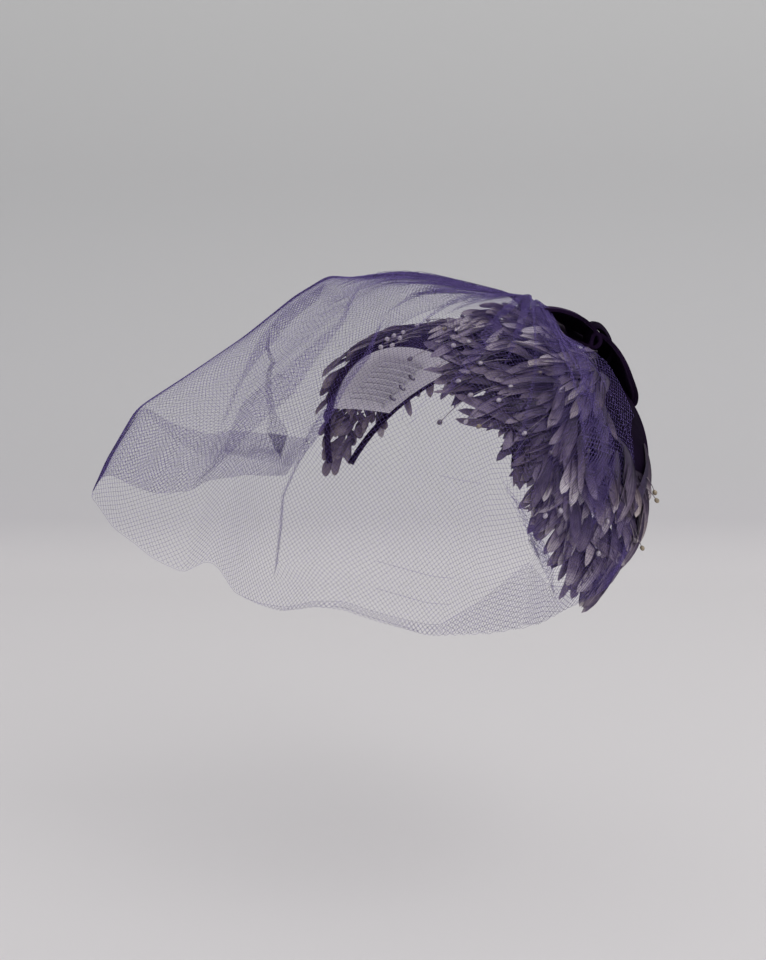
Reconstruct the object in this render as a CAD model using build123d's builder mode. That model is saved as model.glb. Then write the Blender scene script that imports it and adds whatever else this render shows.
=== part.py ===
from build123d import *
import math
import os

os.makedirs("parts", exist_ok=True)

# ---------------------------------------------------------------- dimensions
# All in millimetres.  Z up, -Y the wearer's front, +X the wearer's left.
# The origin is the top of the wearer's head, where the lining rests.
HEAD_HALF_WIDTH = 74.0
HEAD_HALF_LENGTH = 94.0
CHORD_DEPTH = 0.326  # how far below the centre the two horn tips meet
FRONT_TILT = 22.0
BACK_TILT = 18.0
HORN_END = 103.0  # the horns stop blunt at this angle from the middle

LINING_IN, LINING_OUT = 0.2, 0.8
BUCKRAM_IN, BUCKRAM_OUT = 0.85, 2.0
VELVET_IN, VELVET_OUT = 2.05, 3.0

EDGE_WIRE_RADIUS = 0.5
ROLL_INNER_RADIUS = 0.55
ROLL_OUTER_RADIUS = 1.6
ROLL_OFFSET = 1.6
ROLL_CLEARANCE = 0.05
ROLL_END = 100.0

ROW_BOTTOMS = (3.3, 5.4, 7.5)
ROW_THICKNESS = 0.8
ROW_SCALES = (1.0, 0.82, 0.62)
PETAL_WIDTH = 6.6
FAN_DISC_RADIUS = 6.0
FAN_PAD_RADIUS = 4.5
STAMEN_LEVEL = 9.3
STAMEN_WIRE_RADIUS = 0.3
BEAD_RADIUS = 1.15

COMB_SPINE_RADIUS = 1.1
COMB_SPINE_LENGTH = 32.0
COMB_DEPTH = 3.7
COMB_TEETH = 8
COMB_TOOTH_RADIUS = 0.6
COMB_TOOTH_PITCH = 4.0
COMB_TOOTH_CURVE = 66.0
COMB_TOOTH_SWEEP = 24.0
STITCH_LOOP_RADIUS = 1.75
STITCH_THREAD_RADIUS = 0.3

BOW_HALF_WIDTH = 18.0
BOW_RIBBON = 1.6

VEIL_AXIS_X, VEIL_AXIS_Y = 4.0, 30.0
VEIL_LEFT_WIDTH = 86.0
VEIL_RIGHT_WIDTH = 98.0
VEIL_REACH = 209.0
VEIL_BACK_REACH = 60.0
VEIL_THICKNESS = 0.8


# ---------------------------------------------------------------- head shape
def unit(v):
    n = math.sqrt(sum(c * c for c in v))
    return tuple(c / n for c in v)


def dot(a, b):
    return sum(x * y for x, y in zip(a, b))


def cross(a, b):
    return (
        a[1] * b[2] - a[2] * b[1],
        a[2] * b[0] - a[0] * b[2],
        a[0] * b[1] - a[1] * b[0],
    )


MIDDLE = unit((0.100, 0.270, 0.960))
ALONG = unit((0.770, 0.594, -0.247))
ACROSS = unit((-0.634, 0.760, -0.148))
CENTRE = (0.0, 0.0, -HEAD_HALF_WIDTH)


def semi(offset):
    return (HEAD_HALF_WIDTH + offset, HEAD_HALF_LENGTH + offset, HEAD_HALF_WIDTH + offset)


def on_head(theta, phi, offset):
    t, p = math.radians(theta), math.radians(phi)
    u = [
        math.cos(p) * (math.cos(t) * a + math.sin(t) * b) + math.sin(p) * c
        for a, b, c in zip(MIDDLE, ALONG, ACROSS)
    ]
    return tuple(c + s * k for c, s, k in zip(CENTRE, semi(offset), u))


def outward(point):
    s = semi(0)
    return unit([(p - c) / (k * k) for p, c, k in zip(point, CENTRE, s)])


def head_plane(theta, phi, offset):
    """A plane touching the head: local x runs along the crescent, z outward."""
    o = on_head(theta, phi, 0.0)
    n = outward(o)
    ahead = on_head(theta + 0.5, phi, 0.0)
    x = [a - b for a, b in zip(ahead, o)]
    k = dot(x, n)
    x = unit([a - k * b for a, b in zip(x, n)])
    o = tuple(a + offset * b for a, b in zip(o, n))
    return Plane(origin=o, x_dir=x, z_dir=n)


def edge_cut(tilt, front):
    """The plane through both horn tips that cuts one edge of the crescent."""
    t = math.radians(tilt)
    side = 1.0 if front else -1.0
    m = [math.sin(t) * a + side * math.cos(t) * c for a, c in zip(MIDDLE, ACROSS)]
    s = semi(0)
    n = unit([a / b for a, b in zip(m, s)])
    foot = [-CHORD_DEPTH * math.sin(t) * a for a in m]
    o = tuple(c + k * f for c, k, f in zip(CENTRE, s, foot))
    return Plane(origin=o, z_dir=n)


def length_cut(theta, keep_below, gap=0.0):
    """The plane across the crescent at one angle from its middle."""
    t = math.radians(theta)
    side = 1.0 if keep_below else -1.0
    m = [side * (math.sin(t) * a - math.cos(t) * b) for a, b in zip(MIDDLE, ALONG)]
    s = semi(0)
    n = unit([a / b for a, b in zip(m, s)])
    o = tuple(c + gap * a for c, a in zip(CENTRE, n))
    return Plane(origin=o, z_dir=n)


def edge_path(tilt, front):
    """Plane, radii and end angles of the ellipse an edge roll follows."""
    cut = edge_cut(tilt, front)
    n = tuple(cut.z_dir)
    o = tuple(cut.origin)
    o = [a - (ROLL_OUTER_RADIUS + ROLL_CLEARANCE) * b for a, b in zip(o, n)]
    s = semi(ROLL_OFFSET)
    reach = dot(n, [a - b for a, b in zip(o, CENTRE)])
    m = [a * b for a, b in zip(s, n)]
    size = math.sqrt(dot(m, m))
    m = unit(m)
    d = reach / size
    rho = math.sqrt(1 - d * d)
    a = unit(cross(m, (0.3, 0.2, 0.9)))
    b = cross(m, a)
    va = [rho * k * x for k, x in zip(s, a)]
    vb = [rho * k * x for k, x in zip(s, b)]
    t0 = 0.5 * math.atan2(2 * dot(va, vb), dot(va, va) - dot(vb, vb))
    pa = [math.cos(t0) * x + math.sin(t0) * y for x, y in zip(va, vb)]
    pb = [-math.sin(t0) * x + math.cos(t0) * y for x, y in zip(va, vb)]
    mid = [c + k * d * x for c, k, x in zip(CENTRE, s, m)]
    plane = Plane(origin=tuple(mid), x_dir=unit(pa), z_dir=unit(cross(pa, pb)))

    def angle_along(t):
        p = [q + math.cos(t) * x + math.sin(t) * y for q, x, y in zip(mid, pa, pb)]
        u = [(v - c) / k for v, c, k in zip(p, CENTRE, s)]
        return math.degrees(math.atan2(dot(u, ALONG), dot(u, MIDDLE)))

    steps = [math.radians(k * 0.25) for k in range(1440)]
    start = min(steps, key=lambda t: abs(angle_along(t)))
    up, down = start, start
    while abs(angle_along(up)) < ROLL_END:
        up += math.radians(0.25)
    while abs(angle_along(down)) < ROLL_END:
        down -= math.radians(0.25)
    return (
        plane,
        math.sqrt(dot(pa, pa)),
        math.sqrt(dot(pb, pb)),
        math.degrees(down),
        math.degrees(up),
    )


HEAD_SECTION = Plane(origin=CENTRE, x_dir=(1, 0, 0), z_dir=(0, 0, 1))
HEAD_AXIS = Axis(CENTRE, (0, 1, 0))
FRONT_CUT = edge_cut(FRONT_TILT, True)
BACK_CUT = edge_cut(BACK_TILT, False)


def save(builder, name):
    builder.part.label = name
    export_step(builder.part, f"parts/{name}.step")


# ---------------------------------------------------------------- the base
def crescent(name, inner, outer):
    a, b = semi(inner), semi(outer)
    with BuildPart() as layer:
        with BuildSketch(HEAD_SECTION):
            Ellipse(b[0], b[1])
            Ellipse(a[0], a[1], mode=Mode.SUBTRACT)
            with Locations((-200, 0)):
                Rectangle(400, 400, mode=Mode.SUBTRACT)
        revolve(axis=HEAD_AXIS)
        split(bisect_by=FRONT_CUT, keep=Keep.TOP)
        split(bisect_by=BACK_CUT, keep=Keep.TOP)
        split(bisect_by=length_cut(HORN_END, True), keep=Keep.TOP)
        split(bisect_by=length_cut(-HORN_END, False), keep=Keep.TOP)
    save(layer, name)


crescent("lining", LINING_IN, LINING_OUT)
crescent("buckram_base", BUCKRAM_IN, BUCKRAM_OUT)
crescent("velvet_cover", VELVET_IN, VELVET_OUT)

for edge, tilt, is_front in (("front", FRONT_TILT, True), ("back", BACK_TILT, False)):
    path_plane, path_a, path_b, path_start, path_end = edge_path(tilt, is_front)
    with BuildPart() as edge_wire:
        with BuildLine(path_plane) as wire_path:
            EllipticalCenterArc(
                (0, 0), path_a, path_b, path_start, arc_size=path_end - path_start
            )
        with BuildSketch(Plane(origin=wire_path.wire() @ 0, z_dir=wire_path.wire() % 0)):
            Circle(EDGE_WIRE_RADIUS)
        sweep(path=wire_path.wire())
    save(edge_wire, f"{edge}_edge_wire")
    with BuildPart() as edge_roll:
        with BuildLine(path_plane) as roll_path:
            EllipticalCenterArc(
                (0, 0), path_a, path_b, path_start, arc_size=path_end - path_start
            )
        with BuildSketch(Plane(origin=roll_path.wire() @ 0, z_dir=roll_path.wire() % 0)):
            Circle(ROLL_OUTER_RADIUS)
            Circle(ROLL_INNER_RADIUS, mode=Mode.SUBTRACT)
        sweep(path=roll_path.wire())
    save(edge_roll, f"{edge}_edge_roll")


# ---------------------------------------------------------------- petal fans
# name, angle along, angle across, clip angles, petals as (direction, length).
# Direction 0 runs towards the wearer's left horn tip, 90 towards the back.
FANS = (
    (
        "near_tip", 80.0, 0.0, 60.0, 118.0,
        [(-150, 20), (-132, 24), (-114, 26), (-96, 28), (-78, 30), (-60, 32), (-42, 34),
         (-24, 35), (-8, 36), (10, 32), (28, 27), (46, 24), (64, 22), (82, 21),
         (100, 20), (118, 20), (136, 20), (154, 20), (172, 20), (190, 20)],
    ),
    (
        "side", 40.0, 0.0, 25.0, 60.0,
        [(-162, 24), (-144, 30), (-126, 36), (-108, 38), (-90, 38), (-72, 36), (-54, 32),
         (-36, 28), (-18, 26), (0, 24), (18, 24), (36, 24), (54, 24), (72, 22),
         (90, 20), (108, 20), (126, 20), (144, 20), (162, 20), (180, 20)],
    ),
    (
        "crown", 7.0, -13.0, -27.0, 25.0,
        [(-180, 30), (-162, 32), (-144, 34), (-126, 34), (-108, 34), (-90, 34), (-72, 34),
         (-54, 34), (-36, 30), (-18, 26), (0, 22), (18, 18), (36, 14), (54, 12),
         (162, 14)],
    ),
    (
        "far_horn", -66.0, 0.0, -112.0, -27.0,
        [(-180, 40), (-164, 38), (-148, 32), (-130, 27), (-112, 24), (-94, 24), (-76, 24),
         (-58, 27), (-40, 30), (-22, 33), (-6, 36), (10, 36), (26, 33), (42, 28),
         (60, 24), (78, 22), (96, 22), (114, 24), (132, 27), (150, 31), (166, 37)],
    ),
)

for fan, theta, phi, low, high, petals in FANS:
    flat = head_plane(theta, phi, 0.0)
    previous_top = VELVET_OUT
    for row, (bottom, scale) in enumerate(zip(ROW_BOTTOMS, ROW_SCALES)):
        row_name = ("outer", "middle", "inner")[row]
        a, b = semi(bottom), semi(bottom + ROW_THICKNESS)
        turn = 9.0 if row == 1 else 0.0
        with BuildPart() as petal_row:
            with BuildSketch(HEAD_SECTION):
                Ellipse(b[0], b[1])
                Ellipse(a[0], a[1], mode=Mode.SUBTRACT)
                with Locations((-200, 0)):
                    Rectangle(400, 400, mode=Mode.SUBTRACT)
            revolve(axis=HEAD_AXIS)
            with BuildSketch(flat):
                Circle(FAN_DISC_RADIUS)
                for direction, full in petals:
                    reach = full * scale
                    r = math.radians(direction + turn)
                    with Locations(
                        Location(
                            (0.53 * reach * math.cos(r), 0.53 * reach * math.sin(r)),
                            direction + turn,
                        )
                    ):
                        Ellipse(0.47 * reach, PETAL_WIDTH / 2)
            extrude(amount=30, both=True, mode=Mode.INTERSECT)
            if row == 0 or scale * max(p[1] for p in petals) > 10:
                split(bisect_by=length_cut(high, True, 0.3), keep=Keep.TOP)
                split(bisect_by=length_cut(low, False, 0.3), keep=Keep.TOP)
            pad = Plane(
                origin=flat.origin + flat.z_dir * (previous_top + 0.05),
                x_dir=flat.x_dir,
                z_dir=flat.z_dir,
            )
            with BuildSketch(pad):
                Circle(FAN_PAD_RADIUS)
            extrude(amount=bottom + 0.5 * ROW_THICKNESS - previous_top - 0.05)
        save(petal_row, f"{fan}_petals_{row_name}")
        previous_top = bottom + ROW_THICKNESS

    longest = 11.0 if fan == "far_horn" else 13.0
    stamens = [
        (k * 360.0 / 9.0 + 12.0, longest - 3.0 * ((k * 4) % 3) / 2.0) for k in range(9)
    ]
    with BuildPart() as stamen_bunch:
        seat = Plane(
            origin=flat.origin + flat.z_dir * (previous_top + 0.05),
            x_dir=flat.x_dir,
            z_dir=flat.z_dir,
        )
        with BuildSketch(seat):
            Circle(2.6)
        extrude(amount=STAMEN_LEVEL + 0.6 - previous_top)
        for direction, reach in stamens:
            r = math.radians(direction)
            along = flat.x_dir * math.cos(r) + flat.y_dir * math.sin(r)
            root = flat.origin + flat.z_dir * STAMEN_LEVEL
            with BuildSketch(Plane(origin=root, z_dir=along)):
                Circle(STAMEN_WIRE_RADIUS)
            extrude(amount=reach)
            with Locations(Location(root + along * reach)):
                Sphere(BEAD_RADIUS)
    save(stamen_bunch, f"{fan}_stamens")


# ---------------------------------------------------------------- velvet bow
BOW_PLANE = Plane(origin=(0, 0, 0), x_dir=(0, 1, 0), z_dir=(1, 0, 0))

with BuildPart() as bow_loop_front:
    with BuildSketch(BOW_PLANE):
        with BuildLine():
            Spline((36.5, 9.0), (44.0, 13.0), (53.0, 11.0), (59.0, 5.5), (57.0, 0.2),
                   (48.0, 2.6), (40.5, 5.0), periodic=True)
        make_face()
    extrude(amount=BOW_HALF_WIDTH, both=True)
    with BuildSketch(BOW_PLANE):
        with BuildLine():
            Spline((39.2, 8.6), (44.4, 11.0), (52.4, 9.2), (56.8, 5.2), (55.6, 2.2),
                   (48.4, 4.3), (42.0, 6.4), periodic=True)
        make_face()
    extrude(amount=BOW_HALF_WIDTH + 1, both=True, mode=Mode.SUBTRACT)
save(bow_loop_front, "bow_loop_front")

with BuildPart() as bow_loop_rear:
    with BuildSketch(BOW_PLANE):
        with BuildLine():
            Spline((68.6, -3.0), (74.0, -6.5), (79.8, -16.0), (84.2, -27.0), (84.7, -33.5),
                   (80.6, -30.5), (76.0, -20.5), (71.2, -11.0), periodic=True)
        make_face()
    extrude(amount=BOW_HALF_WIDTH, both=True)
    with BuildSketch(BOW_PLANE):
        with BuildLine():
            Spline((70.0, -5.0), (73.3, -8.2), (78.3, -16.8), (82.4, -27.4), (82.6, -30.9),
                   (81.4, -28.8), (77.4, -19.8), (72.6, -10.2), periodic=True)
        make_face()
    extrude(amount=BOW_HALF_WIDTH + 1, both=True, mode=Mode.SUBTRACT)
save(bow_loop_rear, "bow_loop_rear")

with BuildPart() as bow_knot:
    with BuildSketch(BOW_PLANE):
        with BuildLine():
            Spline((60.4, -2.5), (60.9, 3.4), (64.0, 4.0), (66.9, -0.4), (66.6, -9.5),
                   (64.0, -13.6), (60.8, -11.5), periodic=True)
        make_face()
    extrude(amount=7.0, both=True)
save(bow_knot, "bow_knot")


# ---------------------------------------------------------------- hair combs
for side_name, comb_theta in (("left", 62.0), ("right", -62.0)):
    bed = head_plane(comb_theta, 6.0, -COMB_DEPTH)
    spine = Plane(origin=bed.origin, x_dir=bed.y_dir, z_dir=bed.x_dir)
    teeth_plane = Plane(origin=bed.origin, x_dir=bed.x_dir, z_dir=-bed.y_dir)
    with BuildPart() as comb:
        with BuildSketch(spine):
            Circle(COMB_SPINE_RADIUS)
        extrude(amount=COMB_SPINE_LENGTH / 2, both=True)
        with BuildSketch(teeth_plane):
            for k in range(COMB_TEETH):
                with Locations(((k - (COMB_TEETH - 1) / 2) * COMB_TOOTH_PITCH, 0)):
                    Circle(COMB_TOOTH_RADIUS)
        revolve(
            axis=Axis(bed.origin - bed.z_dir * COMB_TOOTH_CURVE, bed.x_dir),
            revolution_arc=COMB_TOOTH_SWEEP,
        )
    save(comb, f"comb_{side_name}")

    with BuildPart() as stitches:
        for k in (-2.0, 0.0, 2.0):
            middle = bed.origin + bed.x_dir * (k * COMB_TOOTH_PITCH)
            loop = Plane(origin=middle, x_dir=bed.y_dir, z_dir=bed.x_dir)
            with Locations(loop):
                Torus(STITCH_LOOP_RADIUS, STITCH_THREAD_RADIUS)
            sag = (k * COMB_TOOTH_PITCH) ** 2 / 160.0
            top = COMB_DEPTH - sag + 0.05
            with BuildSketch(
                Plane(origin=middle + bed.z_dir * STITCH_LOOP_RADIUS, z_dir=bed.z_dir)
            ):
                Circle(STITCH_THREAD_RADIUS)
            extrude(amount=top - STITCH_LOOP_RADIUS)
    save(stitches, f"comb_{side_name}_stitches")


# ---------------------------------------------------------------- veil
GATHER_TOP, GATHER_LOW = 19.0, 15.6
with BuildPart() as veil_gather:
    with BuildSketch(
        Plane(origin=(VEIL_AXIS_X, VEIL_AXIS_Y, 0), x_dir=(1, 0, 0), z_dir=(0, -1, 0))
    ):
        with BuildLine():
            Polyline((0, 0.6), (3.2, 0.6), (3.2, 13.2), (15.0, 15.4), (15.0, 17.4),
                     (0, 19.0), close=True)
        make_face()
    revolve(axis=Axis((VEIL_AXIS_X, VEIL_AXIS_Y, 0), (0, 0, 1)))
    for k in range(12):
        turn = math.radians(k * 30.0)
        out = Vector(math.cos(turn), math.sin(turn), 0)
        base = Vector(VEIL_AXIS_X, VEIL_AXIS_Y, 18.4)
        with BuildSketch(Plane(origin=base + out * 4.0, z_dir=out - Vector(0, 0, 0.09))):
            Circle(0.9)
        extrude(amount=10.5)
save(veil_gather, "veil_gather")

with BuildPart() as gather_binding:
    with Locations((VEIL_AXIS_X, VEIL_AXIS_Y, 10.8)):
        Torus(3.9, 0.6)
    with Locations((VEIL_AXIS_X, VEIL_AXIS_Y, 9.5)):
        Torus(3.9, 0.6)
save(gather_binding, "gather_binding")

# The veil is described by its outline in plan (a long front, a short back) and
# by two hanging profiles, one down the front and one down the side.
FRONT_PROFILE = (
    (0.077, 17.0), (0.190, 27.0), (0.344, 30.0), (0.469, 27.0),
    (0.650, -1.0), (0.840, -30.0), (0.970, -62.0), (0.952, -92.0),
)
SIDE_PROFILE = (
    (0.190, 16.5), (0.420, 6.0), (0.640, -8.0), (0.800, -29.0),
    (0.940, -52.0), (1.000, -74.0), (1.000, -100.0), (0.985, -124.0),
)
VEIL_TURNS = (-104, -88, -70, -50, -32, -15, 0, 15, 32, 50, 70, 88, 104, 120)


def profile_at(profile, place):
    place = min(max(place, 0.0), len(profile) - 1.0)
    k = min(int(place), len(profile) - 2)
    f = place - k
    return tuple(a + f * (b - a) for a, b in zip(profile[k], profile[k + 1]))


def veil_section(turn):
    t = math.radians(turn)
    s, c = math.sin(t), math.cos(t)
    half = VEIL_LEFT_WIDTH if s > 0 else VEIL_RIGHT_WIDTH
    width = half * math.copysign(abs(s) ** (0.45 if c < 0 else 0.85), s)
    length = VEIL_REACH * c if c > 0 else VEIL_BACK_REACH * c
    size = math.hypot(width, length)
    direction = (width / size, -length / size)
    points = []
    count = len(SIDE_PROFILE)
    # behind the side the top edge starts lower and the rim rises
    start = 0.0 if c > 0 else 5.2 * -c
    for k in range(count):
        place = start + (count - 1 - start) * k / (count - 1)
        rs, zs = profile_at(SIDE_PROFILE, place)
        rf, zf = profile_at(FRONT_PROFILE, place)
        blend = s * s if c > 0 else 1.0
        r = (1 - blend) * rf + blend * rs
        z = (1 - blend) * zf + blend * zs
        if c < 0:
            z = z - c * 60.0 * max(0.0, (-60.0 - zs) / 80.0)
        points.append((max(16.2, r * size), z))
    return direction, points


def thicken_line(points, amount):
    inner = []
    for k, (x, y) in enumerate(points):
        ax, ay = points[max(k - 1, 0)]
        bx, by = points[min(k + 1, len(points) - 1)]
        dx, dy = bx - ax, by - ay
        n = math.hypot(dx, dy)
        inner.append((x + amount * dy / n, y - amount * dx / n))
    return inner


with BuildPart() as veil_front:
    for turn in VEIL_TURNS:
        (dx, dy), outer_line = veil_section(turn)
        inner_line = thicken_line(outer_line, VEIL_THICKNESS)
        with BuildSketch(
            Plane(origin=(VEIL_AXIS_X, VEIL_AXIS_Y, 0), x_dir=(dx, dy, 0), z_dir=(dy, -dx, 0))
        ):
            with BuildLine():
                Polyline(*outer_line, *reversed(inner_line), close=True)
            make_face()
    loft(ruled=True)
save(veil_front, "veil_front")
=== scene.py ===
"""Looks for the fascinator headpiece: petals, stamens, velvet bow, thread veil, materials, stage, light and camera.

Lengths in the shape code are in millimetres in the row frame and are turned into metres as each mesh is made.
"""

import math

import bpy
import numpy as np
from mathutils import Matrix, Vector


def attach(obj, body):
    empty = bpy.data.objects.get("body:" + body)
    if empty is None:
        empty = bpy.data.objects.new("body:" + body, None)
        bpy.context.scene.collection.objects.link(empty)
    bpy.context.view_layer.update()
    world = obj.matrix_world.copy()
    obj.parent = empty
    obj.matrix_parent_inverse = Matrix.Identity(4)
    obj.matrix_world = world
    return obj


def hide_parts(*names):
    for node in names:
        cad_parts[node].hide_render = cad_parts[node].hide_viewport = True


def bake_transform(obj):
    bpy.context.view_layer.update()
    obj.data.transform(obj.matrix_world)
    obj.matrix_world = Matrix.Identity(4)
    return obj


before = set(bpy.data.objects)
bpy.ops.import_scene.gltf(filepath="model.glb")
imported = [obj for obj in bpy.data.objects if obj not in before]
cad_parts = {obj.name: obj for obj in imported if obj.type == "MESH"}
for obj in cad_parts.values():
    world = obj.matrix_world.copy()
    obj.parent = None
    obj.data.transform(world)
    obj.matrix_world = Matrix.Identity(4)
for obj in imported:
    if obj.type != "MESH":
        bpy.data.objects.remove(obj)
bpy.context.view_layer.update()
rng = np.random.default_rng(897)
scene = bpy.context.scene
collection = scene.collection

# ------------------------------------------------------------------ view
# The camera is a little above the hat on the wearer's left and looks slightly down.
VIEW_FOCAL, VIEW_PITCH = 1400.0, math.radians(8.0)
VIEW_W, VIEW_H = 766.0, 960.0
EYE = np.array([664.8, -38.4, 24.3])
FORWARD = np.array([-math.cos(VIEW_PITCH), 0.0, -math.sin(VIEW_PITCH)])
RIGHT = np.array([0.0, 1.0, 0.0])
UP = np.array([-math.sin(VIEW_PITCH), 0.0, math.cos(VIEW_PITCH)])

camera_data = bpy.data.cameras.new("camera")
camera = bpy.data.objects.new("camera", camera_data)
collection.objects.link(camera)
camera_data.sensor_width = 36.0
camera_data.lens = VIEW_FOCAL / VIEW_H * 36.0
camera_data.clip_start, camera_data.clip_end = 0.05, 20.0
camera.matrix_world = Matrix(
    (
        (RIGHT[0], UP[0], -FORWARD[0], EYE[0] / 1000),
        (RIGHT[1], UP[1], -FORWARD[1], EYE[1] / 1000),
        (RIGHT[2], UP[2], -FORWARD[2], EYE[2] / 1000),
        (0, 0, 0, 1),
    )
)
scene.camera = camera

# ------------------------------------------------------------------ head shape
CENTRE = np.array([0.0, 0.0, -74.0])
SEMI = np.array([74.0, 94.0, 74.0])


def unit(v):
    v = np.asarray(v, float)
    return v / np.linalg.norm(v, axis=-1, keepdims=True)


MIDDLE = unit((0.100, 0.270, 0.960))
ALONG = unit((0.770, 0.594, -0.247))
ACROSS = unit((-0.634, 0.760, -0.148))


def head_dir(theta, phi):
    t, p = math.radians(theta), math.radians(phi)
    return math.cos(p) * (math.cos(t) * MIDDLE + math.sin(t) * ALONG) + math.sin(p) * ACROSS


def on_head(direction, offset):
    """Point above the head in a direction of the unit ball, offset in mm."""
    return CENTRE + (SEMI + np.asarray(offset)[..., None]) * direction


def head_normal(direction):
    return unit(direction / SEMI)


def seen_at(u, v, h=4.0):
    """Direction of the unit ball that shows at place (u, v) of the 766 x 960 view."""
    d = unit(FORWARD + (u - VIEW_W / 2) / VIEW_FOCAL * RIGHT - (v - VIEW_H / 2) / VIEW_FOCAL * UP)
    s = SEMI + h
    o, dd = (EYE - CENTRE) / s, d / s
    a, b, c = dd @ dd, 2 * o @ dd, o @ o - 1
    disc = b * b - 4 * a * c
    t = -b / (2 * a) if disc < 0 else (-b - math.sqrt(disc)) / (2 * a)
    return unit((EYE + t * d - CENTRE) / s)


# ------------------------------------------------------------------ mesh helpers
def build_mesh(name, verts, faces, materials, face_slots=None, smooth=True):
    """Verts in mm, faces as an array of quads or a list; one object in the scene."""
    mesh = bpy.data.meshes.new(name)
    verts = np.asarray(verts, np.float32) / 1000.0
    if isinstance(faces, np.ndarray):
        n, k = faces.shape
        mesh.vertices.add(len(verts))
        mesh.vertices.foreach_set("co", verts.ravel())
        mesh.loops.add(n * k)
        mesh.loops.foreach_set("vertex_index", faces.ravel().astype(np.int32))
        mesh.polygons.add(n)
        mesh.polygons.foreach_set("loop_start", np.arange(0, n * k, k, dtype=np.int32))
        mesh.update(calc_edges=True)
    else:
        mesh.from_pydata([tuple(map(float, v)) for v in verts], [], faces)
        mesh.update()
    for m in materials:
        mesh.materials.append(m)
    if face_slots is not None:
        mesh.polygons.foreach_set("material_index", np.asarray(face_slots, np.int32))
    mesh.polygons.foreach_set("use_smooth", np.full(len(mesh.polygons), smooth))
    mesh.validate()
    obj = bpy.data.objects.new(name, mesh)
    collection.objects.link(obj)
    return obj


class Soup:
    """Collects quads of many small pieces into one mesh."""

    def __init__(self):
        self.verts, self.faces, self.slots, self.tones, self.count = [], [], [], [], 0

    def add(self, verts, faces, slots=0, tones=None):
        self.verts.append(np.asarray(verts, float))
        self.faces.append(np.asarray(faces, int) + self.count)
        self.slots.append(np.broadcast_to(np.asarray(slots, int), (len(faces),)))
        self.tones.append(np.zeros((len(verts), 4)) if tones is None else np.asarray(tones, float))
        self.count += len(verts)

    def make(self, name, materials, toned=False):
        obj = build_mesh(
            name,
            np.concatenate(self.verts),
            np.concatenate(self.faces),
            materials,
            np.concatenate(self.slots),
        )
        if toned:
            layer = obj.data.attributes.new("tone", "FLOAT_COLOR", "POINT")
            layer.data.foreach_set("color", np.concatenate(self.tones).astype(np.float32).ravel())
        return obj


def grid_faces(rows, cols, wrap=False):
    faces = []
    for i in range(rows - 1):
        for j in range(cols if wrap else cols - 1):
            k = (j + 1) % cols
            faces.append((i * cols + j, i * cols + k, (i + 1) * cols + k, (i + 1) * cols + j))
    return np.array(faces)


def tube(points, radii, sides):
    """Quads round a line of points (mm)."""
    points = np.asarray(points, float)
    tangents = np.gradient(points, axis=0)
    tangents = unit(tangents)
    ref = np.array([0.31, 0.57, 0.76])
    a = unit(np.cross(tangents, ref))
    b = np.cross(tangents, a)
    ang = np.arange(sides) * 2 * math.pi / sides
    ring = np.cos(ang)[None, :, None] * a[:, None, :] + np.sin(ang)[None, :, None] * b[:, None, :]
    verts = points[:, None, :] + ring * np.asarray(radii, float).reshape(-1, 1, 1)
    return verts.reshape(-1, 3), grid_faces(len(points), sides, wrap=True)


def ball(centre, radius, axis, stretch=1.0, lat=6, lon=8):
    axis = unit(axis)
    a = unit(np.cross(axis, (0.31, 0.57, 0.76)))
    b = np.cross(axis, a)
    verts = []
    for i in range(lat + 1):
        t = math.pi * i / lat
        for j in range(lon):
            p = 2 * math.pi * j / lon
            verts.append(
                centre
                + radius * (math.sin(t) + 1e-3) * (math.cos(p) * a + math.sin(p) * b)
                + radius * stretch * math.cos(t) * axis
            )
    return np.array(verts), grid_faces(lat + 1, lon, wrap=True)


# ------------------------------------------------------------------ materials
def principled(name, **values):
    m = bpy.data.materials.new(name)
    m.use_nodes = True
    shader = m.node_tree.nodes["Principled BSDF"]
    for key, value in values.items():
        key = key.replace("_", " ")
        shader.inputs[key].default_value = value
    return m, m.node_tree.nodes, m.node_tree.links, shader


def ramp(nodes, links, source, stops):
    node = nodes.new("ShaderNodeValToRGB")
    links.new(source, node.inputs["Fac"])
    elements = node.color_ramp.elements
    while len(elements) < len(stops):
        elements.new(0.5)
    for e, (p, c) in zip(elements, stops):
        e.position = p
        e.color = (*c, 1.0)
    return node.outputs["Color"]


def noise(nodes, links, scale, detail=3.0, coords=None, rough=0.5):
    if coords is None:
        coords = nodes.new("ShaderNodeTexCoord").outputs["Object"]
    node = nodes.new("ShaderNodeTexNoise")
    node.inputs["Scale"].default_value = scale
    node.inputs["Detail"].default_value = detail
    node.inputs["Roughness"].default_value = rough
    links.new(coords, node.inputs["Vector"])
    return node.outputs["Fac"]


def bump(nodes, links, height, strength, distance, shader):
    node = nodes.new("ShaderNodeBump")
    node.inputs["Strength"].default_value = strength
    node.inputs["Distance"].default_value = distance
    links.new(height, node.inputs["Height"])
    links.new(node.outputs["Normal"], shader.inputs["Normal"])


def velvet_material(name, dark, light, sheen):
    m, nodes, links, shader = principled(
        name, Roughness=0.9, Sheen_Weight=0.24, Sheen_Roughness=0.32, Sheen_Tint=(*sheen, 1.0),
        Specular_IOR_Level=0.04,
    )
    pile = noise(nodes, links, 260.0, 4.0)
    crush = noise(nodes, links, 45.0, 2.0)
    links.new(ramp(nodes, links, crush, [(0.35, dark), (0.7, light)]), shader.inputs["Base Color"])
    bump(nodes, links, pile, 0.5, 0.0006, shader)
    return m


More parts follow.
